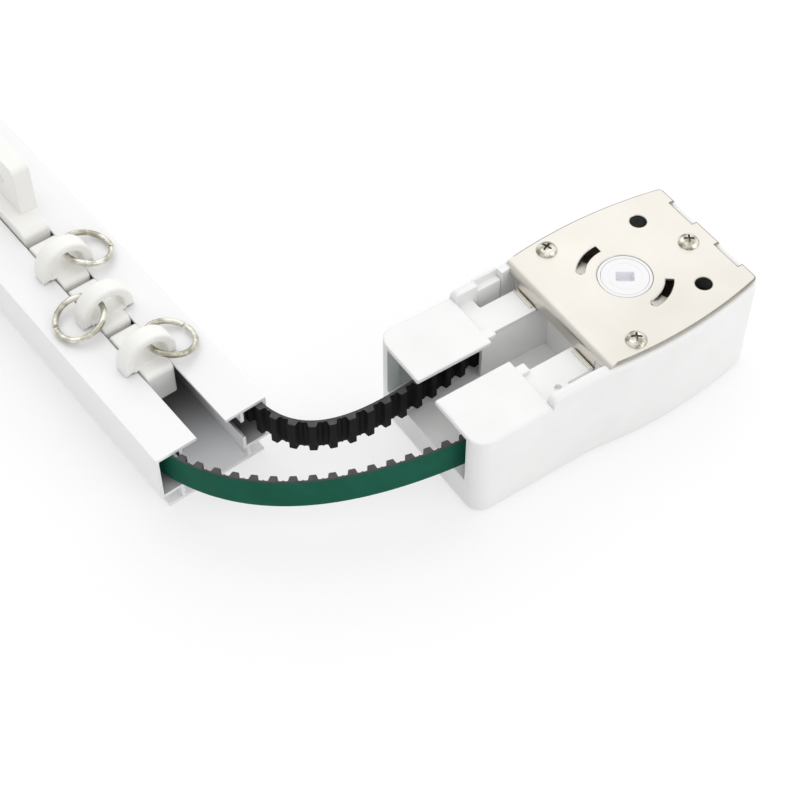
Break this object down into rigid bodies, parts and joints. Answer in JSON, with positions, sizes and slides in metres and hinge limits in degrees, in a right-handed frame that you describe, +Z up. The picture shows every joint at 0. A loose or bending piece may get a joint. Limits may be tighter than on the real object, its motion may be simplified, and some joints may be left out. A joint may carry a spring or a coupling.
{
  "type": "electric curtain track",
  "caption": "Slotted curtain rail with ringed gliders and a belt-pulled carrier, its toothed belt looping out round a corner into a plated drive head with a hub socket for a motor.",
  "frame": {"origin": "foot of the drive hub's axis on the plane the rail and the drive head lie on", "axes": "+Y along the rail away from its open mouth, +Z up out of the slotted face, +X from the rail towards the drive head"},
  "size_m": [0.162, 0.3409, 0.0403],
  "materials": {
    "coated_rail": "white powder coat on drawn aluminium",
    "belt_rubber": "moulded toothed belt with a green fabric back and black teeth",
    "white_plastic": "white injection moulding, half matt",
    "satin_steel": "warm satin pressed sheet",
    "bright_steel": "bright nickel-plated steel",
    "bush_bronze": "sintered bearing bronze",
    "pale_plastic": "natural slippery plastic, pale",
    "dark_plastic": "dark glass-filled plastic"
  },
  "bodies": {
    "track": {"rail": "coated_rail", "belt": "belt_rubber", "drive_housing": "white_plastic", "top_plate": "satin_steel", "plate_screws": "bright_steel", "lower_bush": "bush_bronze", "upper_bush": "pale_plastic", "return_housing": "white_plastic", "return_lid": "white_plastic", "return_screws": "bright_steel", "return_axle": "bright_steel"},
    "drive_rotor": {"drive_hub": "pale_plastic", "drive_pulley": "dark_plastic", "drive_flange_top": "bright_steel", "drive_flange_bottom": "bright_steel"},
    "return_rotor": {"return_pulley": "dark_plastic", "return_bush_ring": "bush_bronze"},
    "carrier": {"carrier_body": "white_plastic", "carrier_axles": "bright_steel", "belt_jaw": "white_plastic", "jaw_screws": "bright_steel"},
    "carrier_front_wheelset": {"carrier_front_wheels": "pale_plastic"},
    "carrier_rear_wheelset": {"carrier_rear_wheels": "pale_plastic"},
    "glider_1": {"glider_1_body": "white_plastic", "glider_1_axle": "bright_steel"},
    "glider_1_wheelset": {"glider_1_wheels": "pale_plastic"},
    "hook_ring_1": {"ring_1": "bright_steel"},
    "glider_2": {"glider_2_body": "white_plastic", "glider_2_axle": "bright_steel"},
    "glider_2_wheelset": {"glider_2_wheels": "pale_plastic"},
    "hook_ring_2": {"ring_2": "bright_steel"},
    "glider_3": {"glider_3_body": "white_plastic", "glider_3_axle": "bright_steel"},
    "glider_3_wheelset": {"glider_3_wheels": "pale_plastic"},
    "hook_ring_3": {"ring_3": "bright_steel"}
  },
  "joints": [
    {"name": "carrier_slide", "type": "slide", "parent": "track", "child": "carrier", "axis": [0, 1, 0], "range_m": [0, 0.1], "deforming": ["belt"]},
    {"name": "drive_spin", "type": "hinge", "parent": "track", "child": "drive_rotor", "pos_m": [0, 0, 0.0193], "axis": [0, 0, 1], "range_deg": [0, 380]},
    {"name": "return_spin", "type": "hinge", "parent": "track", "child": "return_rotor", "pos_m": [-0.1105, 0.2955, 0.0145], "axis": [0, 0, 1], "range_deg": [0, 380]},
    {"name": "carrier_front_wheel_spin", "type": "hinge", "parent": "carrier", "child": "carrier_front_wheelset", "pos_m": [-0.1105, 0.1233, 0.0155], "axis": [1, 0, 0], "continuous": true},
    {"name": "carrier_rear_wheel_spin", "type": "hinge", "parent": "carrier", "child": "carrier_rear_wheelset", "pos_m": [-0.1105, 0.1473, 0.0155], "axis": [1, 0, 0], "continuous": true},
    {"name": "glider_1_slide", "type": "slide", "parent": "track", "child": "glider_1", "axis": [0, 1, 0], "range_m": [0, 0.075]},
    {"name": "glider_1_wheel_spin", "type": "hinge", "parent": "glider_1", "child": "glider_1_wheelset", "pos_m": [-0.1105, 0.1072, 0.0155], "axis": [1, 0, 0], "continuous": true},
    {"name": "ring_1_swing", "type": "hinge", "parent": "glider_1", "child": "hook_ring_1", "pos_m": [-0.1095, 0.1043, 0.0257], "axis": [0, -1, 0], "range_deg": [0, 208]},
    {"name": "glider_2_slide", "type": "slide", "parent": "track", "child": "glider_2", "axis": [0, 1, 0], "range_m": [0, 0.05]},
    {"name": "glider_2_wheel_spin", "type": "hinge", "parent": "glider_2", "child": "glider_2_wheelset", "pos_m": [-0.1105, 0.0866, 0.0155], "axis": [1, 0, 0], "continuous": true},
    {"name": "ring_2_swing", "type": "hinge", "parent": "glider_2", "child": "hook_ring_2", "pos_m": [-0.1115, 0.0837, 0.0257], "axis": [0, 1, 0], "range_deg": [0, 208]},
    {"name": "glider_3_slide", "type": "slide", "parent": "track", "child": "glider_3", "axis": [0, 1, 0], "range_m": [0, 0.025]},
    {"name": "glider_3_wheel_spin", "type": "hinge", "parent": "glider_3", "child": "glider_3_wheelset", "pos_m": [-0.1105, 0.066, 0.0155], "axis": [1, 0, 0], "continuous": true},
    {"name": "ring_3_swing", "type": "hinge", "parent": "glider_3", "child": "hook_ring_3", "pos_m": [-0.1095, 0.0631, 0.0257], "axis": [0, -1, 0], "range_deg": [0, 208]}
  ],
  "couplings": [
    {"joint": "drive_spin", "follows": "carrier_slide", "rad_per_m": 66.139},
    {"joint": "return_spin", "follows": "carrier_slide", "rad_per_m": 66.139},
    {"joint": "glider_1_slide", "follows": "carrier_slide", "ratio": 0.75},
    {"joint": "glider_2_slide", "follows": "carrier_slide", "ratio": 0.5},
    {"joint": "glider_3_slide", "follows": "carrier_slide", "ratio": 0.25}
  ]
}
